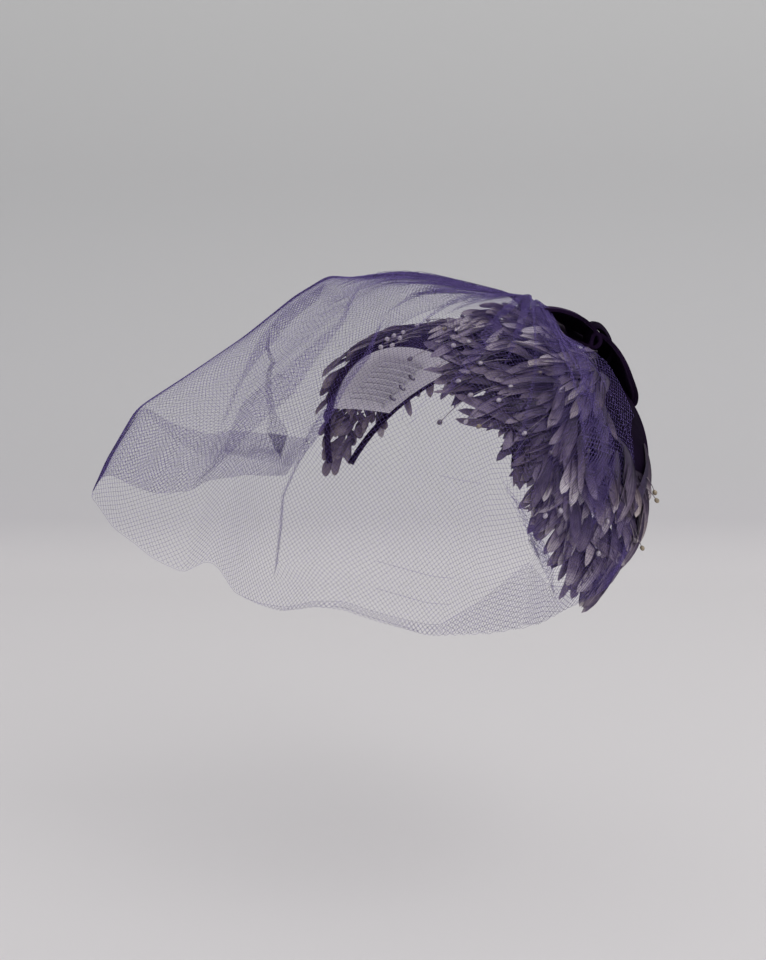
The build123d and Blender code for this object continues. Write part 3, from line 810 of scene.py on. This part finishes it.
# how far the hem is turned up, and how far its end is turned down again (mm)
TURNS = (
    ((58, 66, -101), 4, 0), ((64, 59, -108), 10, 0), ((76, 38, -117), 13, 0), ((80, 28.8, -121), 19, 0),
    ((82.2, 20.6, -122), 30, 0), ((84.7, 11.5, -123), 22, 0), ((86.3, -2.4, -123), 12, 0),
    ((86.8, -14.3, -123), 5, 0), ((85, -38, -119), 4, 0), ((82, -55, -113.5), 4, 0), ((75, -81, -116), 2, 0), ((66, -104, -109), 0, 0), ((14, -172, -80), 0, 0),
    ((4, -178, -76), 0, 0), ((-8, -176, -70), 42, 1), ((-46, -155, -83.4), 37, 8), ((-56, -138, -83), 31, 12),
    ((-70, -113, -76), 25, 15), ((-79, -90, -78), 24, 18),
)
TURNS = tuple((slide(q[0], 4 + (q[0][0] - 4) * np.interp(q[0][1], [-126, -75], [0.62, 1.0])), q[1], q[2]) for q in TURNS)
CLOTH_DEPTH, CLOTH_LENGTH, MESH_PITCH, THREAD_RADIUS = 250.0, 440.0, 1.62, 0.125


def catmull(p0, p1, p2, p3, f):
    return 0.5 * (2 * p1 + (p2 - p0) * f + (2 * p0 - 5 * p1 + 4 * p2 - p3) * f * f + (3 * p1 - p0 - 3 * p2 + p3) * f**3)


def along(line, shares):
    """Points at shares of a line's length."""
    at = np.concatenate([[0], np.cumsum(np.linalg.norm(np.diff(line, axis=0), axis=1))])
    return np.stack([np.interp(shares * at[-1], at, line[:, k]) for k in range(3)], axis=-1)


def smooth_line(line, times, hold=True):
    line = line.copy()
    for _ in range(times):
        line[1:-1] = 0.25 * line[:-2] + 0.5 * line[1:-1] + 0.25 * line[2:]
    return line


# a fine table of the veil's surface, evenly spaced by hem length
POINTS_PER_LINE = STATIONS.shape[1]
hem_steps = np.linalg.norm(np.diff(STATIONS[:, -1], axis=0), axis=1)
hem_at = np.concatenate([[0], np.cumsum(hem_steps)])
E_STEPS, S_STEPS = 241, 141
surface = np.zeros((E_STEPS, S_STEPS, 3))
e_line = np.linspace(0, 1, E_STEPS)
s_axis = np.linspace(0, 1, S_STEPS)
crease_e = round(hem_at[CREASE] / hem_at[-1] * (E_STEPS - 1)) / (E_STEPS - 1)
stations_at = np.interp(
    e_line, np.concatenate([hem_at[: CREASE + 1] / hem_at[CREASE] * crease_e,
                            crease_e + (hem_at[CREASE + 1 :] - hem_at[CREASE]) / (hem_at[-1] - hem_at[CREASE]) * (1 - crease_e)]),
    np.arange(len(STATIONS)),
)
for i, place in enumerate(stations_at):
    low, high = (0, CREASE) if place <= CREASE else (CREASE, len(STATIONS) - 1)
    a = int(np.clip(int(place), low, high - 1))
    f = place - a
    ctrl = catmull(STATIONS[max(a - 1, low)], STATIONS[a], STATIONS[a + 1], STATIONS[min(a + 2, high)], f)
    fine = []
    for b in range(POINTS_PER_LINE - 1):
        for k in range(12):
            fine.append(
                catmull(ctrl[max(b - 1, 0)], ctrl[b], ctrl[b + 1], ctrl[min(b + 2, POINTS_PER_LINE - 1)], k / 12)
            )
    fine.append(ctrl[-1])
    surface[i] = along(np.array(fine), s_axis)
# draw the front crease and the hem to their own lines
crease_row = round(crease_e * (E_STEPS - 1))
crease_line = smooth_line(along(CREASE_LINE, s_axis), 3)
shift = crease_line - surface[crease_row]
surface += shift[None, :, :] * np.exp(-(((e_line - crease_e) / 0.07) ** 2))[:, None, None]
near_e = np.maximum.accumulate([np.argmin(np.linalg.norm(surface[:, -1] - q, axis=1)) / (E_STEPS - 1) for q in HEM])
near_e[0], near_e[-1] = 0.0, 1.0
hem_line = smooth_line(np.stack([np.interp(e_line, near_e, HEM[:, k]) for k in range(3)], axis=1), 3)
shift = hem_line - surface[:, -1]
surface += shift[:, None, :] * (s_axis**3.0)[None, :, None]
line_length = np.linalg.norm(np.diff(surface, axis=1), axis=2).sum(axis=1)

# space the lines evenly over the lower part of the veil, so that the net's mesh stays square
share = np.zeros(E_STEPS)
for column in (0.45, 0.6, 0.75, 0.9, 1.0):
    steps = np.linalg.norm(np.diff(surface[:, round(column * (S_STEPS - 1))], axis=0), axis=1)
    share += np.concatenate([[0], np.cumsum(steps)]) / 5
VEIL_ROUND = share[-1]
share = share / VEIL_ROUND
crease_e = round(share[crease_row] * (E_STEPS - 1)) / (E_STEPS - 1)
share = np.concatenate(
    [share[: crease_row + 1] / share[crease_row] * crease_e,
     crease_e + (share[crease_row + 1 :] - share[crease_row]) / (1 - share[crease_row]) * (1 - crease_e)]
)
flat_rows = surface.reshape(E_STEPS, -1)
surface = np.stack([np.interp(e_line, share, column) for column in flat_rows.T], axis=1).reshape(surface.shape)
crease_row = round(crease_e * (E_STEPS - 1))
line_length = np.linalg.norm(np.diff(surface, axis=1), axis=2).sum(axis=1)

# soft unevenness of hanging net
ee, ss = np.meshgrid(e_line, s_axis, indexing="ij")


def normals(points):
    n = unit(np.cross(np.gradient(points, axis=1), np.gradient(points, axis=0)))
    flip = np.sign((n * (points - np.array([0, -20, -70]))).sum(axis=2, keepdims=True))
    return n * np.where(flip == 0, 1, flip)


surface_normal = np.concatenate([normals(surface[: crease_row + 1]), normals(surface[crease_row:])[1:]])
ripple = (
    0.9 * np.sin(2 * math.pi * (5.3 * ee + 0.8 * ss) + 0.6)
    + 0.7 * np.sin(2 * math.pi * (9.1 * ee - 0.7 * ss) + 2.1)
    + 0.5 * np.sin(2 * math.pi * (3.0 * ee + 2.6 * ss) + 4.0)
) * (0.10 + 0.90 * ss) * np.clip(np.abs(ee - crease_e) / 0.08, 0, 1) * np.clip(0.3 + ee / 0.4, 0, 1)
surface += surface_normal * ripple[:, :, None]
surface_view = in_view(surface)


def look_up(table, e, s):
    """Bilinear reading of a table over (e, s), both 0 to 1."""
    x = np.clip(e, 0, 1) * (E_STEPS - 1)
    y = np.clip(s, 0, 1) * (S_STEPS - 1)
    i = np.minimum(x.astype(int), E_STEPS - 2)
    j = np.minimum(y.astype(int), S_STEPS - 2)
    f, g = (x - i)[..., None], (y - j)[..., None]
    return (
        table[i, j] * (1 - f) * (1 - g) + table[i + 1, j] * f * (1 - g)
        + table[i, j + 1] * (1 - f) * g + table[i + 1, j + 1] * f * g
    )


def seen_places(points, far=False):
    """(s, e) of the veil's near or far half where it shows at the given places of the view."""
    rows = slice(crease_row, E_STEPS) if far else slice(0, crease_row + 1)
    found = []
    for q in points:
        d = np.linalg.norm(surface_view[rows] - np.asarray(q, float), axis=2)
        d[:, : int(0.1 * S_STEPS)] = 1e9
        i, j = np.unravel_index(np.argmin(d), d.shape)
        found.append((s_axis[j], e_line[i + (crease_row if far else 0)]))
    found = np.array(found)
    return np.maximum.accumulate(found[:, 0]) + 1e-6 * np.arange(len(found)), found[:, 1]


S_FINE = np.linspace(0, 1, 201)
fold_places, fold_widths = [], []


def add_fold(front, back, far=False, grow=0.03, times=1):
    """A lens-shaped fold between two edges given in the view: the cloth doubles back on itself there."""
    s1, e1 = seen_places(front, far)
    s2, e2 = seen_places(back, far)
    a, b = np.interp(S_FINE, s1, e1), np.interp(S_FINE, s2, e2)
    low, high = max(s1[0], s2[0]), min(s1[-1], s2[-1])
    fade = np.clip((S_FINE - low) / grow, 0, 1) * np.clip((high - S_FINE) / grow, 0, 1)
    place, other = (b, a) if far else (a, b)
    for _ in range(times):
        fold_places.append(place)
        fold_widths.append(np.clip(place - other, 0.0, 0.12) * fade)


add_fold(
    [(361, 288), (340, 321), (310, 347), (279, 372), (243, 403), (227, 439), (192, 490)],
    [(363, 290), (345, 324), (325, 352), (297, 393), (269, 418), (238, 449), (208, 477), (191, 494)],
)
add_fold(
    [(326, 286), (284, 311), (259, 342), (243, 372), (228, 408), (222, 430)],
    [(337, 290), (295, 319), (276, 342), (258, 362), (241, 388), (225, 425), (222, 432)],
)
add_fold(
    [(384, 319), (366, 352), (335, 393), (310, 429), (302, 449), (292, 472), (284, 495), (281, 528), (278, 556), (276, 579)],
    [(385, 321), (371, 357), (350, 385), (335, 413), (317, 439), (305, 457), (296, 472), (287, 495), (283.5, 528), (280.5, 556), (277, 579)],
    times=2,
)
add_fold([(566, 340), (572, 400), (581, 440), (586, 480), (592, 530)], [(578, 340), (596, 400), (612, 440), (612, 480), (596, 530)])
add_fold([(498, 470), (510, 500), (526, 535), (541, 565), (556, 600)], [(500, 470), (520, 500), (541, 535), (553, 565), (558, 600)], grow=0.08)
add_fold([(522, 301), (500, 298), (470, 294), (440, 292), (412, 296)], [(522, 309), (500, 313), (470, 316), (440, 306), (412, 298)], grow=0.13, times=2)
add_fold([(500, 318), (470, 352), (440, 400)], [(508, 322), (482, 356), (442, 402)])
add_fold([(268, 330), (272, 362), (268, 413), (266, 430), (277, 459)], [(272, 330), (277, 362), (277, 413), (288, 431), (279, 459)], far=True)
for k in range(18):
    place = 0.02 + 0.96 * (k + 0.5 + 0.25 * math.sin(k * 2.4)) / 18
    reach = 0.30 + 0.10 * (0.5 + 0.5 * math.sin(k * 1.9))
    fold_places.append(np.full_like(S_FINE, place))
    front = 0.5 < place < 0.86
    fold_widths.append(
        np.interp(S_FINE, [0.0, 0.10, 0.22, reach], [0.055, 0.042, 0.026, 0.0] if front else [0.060, 0.044, 0.022, 0.0])
    )
    if place < 0.24:
        fold_widths[-1] = np.interp(S_FINE, [0.0, 0.10, 0.22, 0.55, 0.7], [0.056, 0.013, 0.006, 0.007 if place > 0.10 else 0.001, 0.0])
fold_places, fold_widths = np.array(fold_places).T, np.array(fold_widths).T
own_places, own_widths = fold_places, fold_widths
order = np.argsort(fold_places, axis=1)
fold_places, fold_widths = np.take_along_axis(fold_places, order, 1), np.take_along_axis(fold_widths, order, 1)


# Lines of the cloth that stay put whatever the folds between them take up; a
# line is used only if no fold wanders across it.
knots = [0.0]
for place in np.linspace(0.04, 0.96, 47):
    side = np.where(own_widths > 1e-4, np.sign(own_places - place), 0)
    clear = all(not ((column > 0).any() and (column < 0).any()) for column in side.T)
    near = np.abs(np.where(own_widths > 1e-4, own_places - place, 1.0)).min() > 0.006
    if clear and near and place - knots[-1] > 0.05:
        knots.append(float(place))
knots = np.array([k for k in knots if k < 0.95] + [1.0])
knot_paths = knots[None, :] + 2.0 * np.einsum(
    "sf,skf->sk", fold_widths, (fold_places[:, None, :] < knots[None, :, None]).astype(float)
)
knot_paths[:, -1] = 1.0 + 2.0 * fold_widths.sum(axis=1)


def zigzag(c, s):
    """Cloth share c along the strip to place e, and how many layers up it lies."""
    x = np.clip(s, 0, 1) * (len(S_FINE) - 1)
    i = np.minimum(x.astype(int), len(S_FINE) - 2)
    f = (x - i)[:, None]
    places = fold_places[i] * (1 - f) + fold_places[i + 1] * f
    widths = fold_widths[i] * (1 - f) + fold_widths[i + 1] * f
    paths = knot_paths[i] * (1 - f) + knot_paths[i + 1] * f
    k = np.clip(np.searchsorted(knots, c, side="right") - 1, 0, len(knots) - 2)
    g = (c - knots[k]) / (knots[k + 1] - knots[k])
    rows = np.arange(len(c))
    path = paths[rows, k] * (1 - g) + paths[rows, k + 1] * g
    gone = np.zeros_like(path)
    e = np.zeros_like(path)
    layer = np.zeros_like(path)
    done = np.zeros(path.shape, bool)
    for k in range(places.shape[-1]):
        p, w = places[..., k], widths[..., k]
        limit = p + gone
        now = ~done & (path <= limit)
        e = np.where(now, path - gone, e)
        done |= now
        back = ~done & (path <= limit + w)
        e = np.where(back, p - (path - limit), e)
        layer = np.where(back, 1.0, layer)
        done |= back
        again = ~done & (path <= limit + 2 * w)
        e = np.where(again, p - w + (path - limit - w), e)
        layer = np.where(again, 2.0, layer)
        done |= again
        gone = gone + 2 * w
    return np.clip(np.where(done, e, path - gone), 0, 1), layer


turn_e = np.maximum.accumulate(
    [np.argmin(np.linalg.norm(surface[:, -1] - np.array(q[0]), axis=1)) / (E_STEPS - 1) for q in TURNS]
)
KNEE = 0.70


def cloth_to_space(c, v):
    """Cloth place (share of length, mm from the gathers) to a point in space."""
    d = CLOTH_DEPTH - v
    e = c.copy()
    for _ in range(3):
        length = np.interp(e, e_line, line_length)
        up = np.interp(e, turn_e, [q[1] for q in TURNS])
        down = np.interp(e, turn_e, [q[2] for q in TURNS])
        height = np.where(d < down, up - down + d, np.abs(d - down - up))
        knee = KNEE * length
        rest = np.maximum(CLOTH_DEPTH - down - up - knee, 1.0)
        s = np.where(height < knee, 1 - height / length, (1 - KNEE) * np.clip(1 - (height - knee) / rest, 0, 1))
        e, layer = zigzag(c, s)
    turned = (d < down + up) * np.clip((down + up - d) / 3.0, 0, 1) + (d < down) * np.clip((down - d) / 3.0, 0, 1)
    lift = 0.5 * layer - 0.6 * turned
    return look_up(surface, e, s) + look_up(surface_normal, e, s) * lift[..., None]


def simplify(points, tolerance, longest):
    """Fewest points of a line that stay within tolerance of it."""
    keep = np.zeros(len(points), bool)
    keep[0] = keep[-1] = True
    stack = [(0, len(points) - 1)]
    while stack:
        a, b = stack.pop()
        if b <= a + 1:
            continue
        pa, pb = points[a], points[b]
        d = pb - pa
        size = np.linalg.norm(d)
        mid = points[a + 1 : b]
        if size < 1e-6:
            dist = np.linalg.norm(mid - pa, axis=1)
        else:
            dist = np.linalg.norm(np.cross(mid - pa, d / size), axis=1)
        k = int(np.argmax(dist))
        if dist[k] > tolerance or size > longest:
            m = a + 1 + k if dist[k] > tolerance else (a + b) // 2
            keep[m] = True
            stack += [(a, m), (m, b)]
    return points[keep]


SPAN = MESH_PITCH * math.sqrt(2)
STEP = 1.15
thread_points, thread_sizes = [], []
for slope in (1, -1):
    first = -CLOTH_DEPTH if slope == 1 else 0.0
    last = CLOTH_LENGTH if slope == 1 else CLOTH_LENGTH + CLOTH_DEPTH
    u0 = first + SPAN * 0.5
    while u0 < last:
        v = np.arange(0.0, CLOTH_DEPTH + 0.01, STEP)
        u = u0 + slope * v
        keep = (u >= 0) & (u <= CLOTH_LENGTH)
        if keep.sum() > 2:
            points = cloth_to_space(u[keep] / CLOTH_LENGTH, v[keep])
            points = simplify(points, 0.22, 12.0)
            thread_points.append(points)
        u0 += SPAN
# the cut ends and edge threads run along the hem and both sides
for edge in ("hem", "left", "right"):
    if edge == "hem":
        u = np.arange(0, CLOTH_LENGTH, STEP)
        v = np.full_like(u, CLOTH_DEPTH)
    else:
        v = np.arange(0, CLOTH_DEPTH, STEP)
        u = np.full_like(v, 0.5 if edge == "left" else CLOTH_LENGTH - 0.5)
    thread_points.append(simplify(cloth_to_space(u / CLOTH_LENGTH, v), 0.2, 12.0))

# a few pulled threads
for path in (
    [(420, 384), (427, 392), (425, 402), (416, 412), (417, 419), (407, 427)],
    [(441, 474), (456, 462), (470, 456), (486, 449)],
    [(398, 392), (404, 404), (401, 421)],
    [(330, 606), (356, 598), (392, 603), (420, 597)],
    [(378, 562), (392, 566), (412, 567), (434, 567), (455, 565)],
    [(376, 587), (400, 590), (420, 592), (438, 598), (452, 601)],
):
    path_s, path_e = seen_places(path)
    t = np.linspace(0, len(path) - 1, 6 * len(path))
    e, s = np.interp(t, np.arange(len(path)), path_e), np.interp(t, np.arange(len(path)), path_s)
    thread_points.append(look_up(surface, e, s) + look_up(surface_normal, e, s) * 0.4)

all_verts, all_faces, all_slots, base = [], [], [], 0
ring_angles = np.arange(3) * 2 * math.pi / 3
for points in thread_points:
    n = len(points)
    if n < 2:
        continue
    tangents = unit(np.gradient(points, axis=0) + 1e-9)
    a = unit(np.cross(tangents, np.array([0.31, 0.57, 0.76])))
    b = np.cross(tangents, a)
    ring = np.cos(ring_angles)[None, :, None] * a[:, None] + np.sin(ring_angles)[None, :, None] * b[:, None]
    all_verts.append((points[:, None] + ring * THREAD_RADIUS).reshape(-1, 3))
    idx = base + np.arange((n - 1) * 3).reshape(n - 1, 3)
    nxt = base + (np.arange(n - 1)[:, None] * 3 + (np.arange(3)[None, :] + 1) % 3)
    all_faces.append(np.stack([idx, nxt, nxt + 3, idx + 3], axis=-1).reshape(-1, 4))
    all_slots.append(np.full((n - 1) * 3, int(rng.choice(3, p=(0.5, 0.3, 0.2)))))
    base += n * 3
veil = build_mesh(
    "veil_net", np.concatenate(all_verts), np.concatenate(all_faces), NET, np.concatenate(all_slots)
)
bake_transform(veil)
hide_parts("veil_front", "veil_gather")

# ------------------------------------------------------------------ stage
def stage_material(name, stops, rough):
    m, nodes, links, shader = principled(name, Roughness=rough, Specular_IOR_Level=0.1)
    geometry = nodes.new("ShaderNodeTexCoord").outputs["Object"]
    split = nodes.new("ShaderNodeSeparateXYZ")
    links.new(geometry, split.inputs[0])
    scale = nodes.new("ShaderNodeMapRange")
    scale.inputs["From Min"].default_value = -0.27
    scale.inputs["From Max"].default_value = 1.0
    links.new(split.outputs["Z"], scale.inputs["Value"])
    links.new(ramp(nodes, links, scale.outputs["Result"], stops), shader.inputs["Base Color"])
    return m


FLOOR_Z = -262.0
profile = [(1500, FLOOR_Z), (300, FLOOR_Z), (-650, FLOOR_Z)]
for k in range(1, 25):
    t = k / 24 * math.pi / 2
    profile.append((-650 - 420 * math.sin(t), FLOOR_Z + 420 * (1 - math.cos(t))))
profile.append((-1070, 2400))
verts = [(x, y, z) for y in (-3200, 3200) for x, z in profile]
n = len(profile)
faces = np.array([(k, k + 1, n + k + 1, n + k) for k in range(n - 1)])
# the backdrop's colour is lighter on the floor, darker at the horizon and up the wall, and lighter again near the top:
# painted light and shade
backdrop = build_mesh(
    "backdrop", verts, faces,
    [stage_material("backdrop_painted_light", [(0.0, (0.670, 0.648, 0.655)), (0.004, (0.660, 0.640, 0.647)), (0.034, (0.532, 0.518, 0.532)), (0.07, (0.515, 0.507, 0.515)), (0.30, (0.505, 0.505, 0.508)), (1.0, (0.590, 0.597, 0.577))], 0.9)],
)

world = bpy.data.worlds.new("soft_room")
scene.world = world
world.use_nodes = True
world.node_tree.nodes["Background"].inputs["Color"].default_value = (0.985, 0.985, 1.0, 1.0)
world.node_tree.nodes["Background"].inputs["Strength"].default_value = 0.80


def area_light(name, place, target, size, power, colour=(1, 1, 1)):
    data = bpy.data.lights.new(name, "AREA")
    data.shape, data.size, data.energy, data.color = "DISK", size, power, colour
    obj = bpy.data.objects.new(name, data)
    collection.objects.link(obj)
    direction = Vector(target) - Vector(place)
    obj.location = place
    obj.rotation_euler = direction.to_track_quat("-Z", "Y").to_euler()
    return obj


area_light("key_window", (1.0, 1.1, 1.5), (0, 0, -0.05), 1.8, 15.0, (1.0, 0.99, 0.98))
area_light("top_soft", (-0.2, 0.1, 1.9), (0, 0, 0), 3.0, 6.0)

scene.view_settings.view_transform = "Standard"
scene.view_settings.look = "None"
scene.view_settings.exposure = 0.0

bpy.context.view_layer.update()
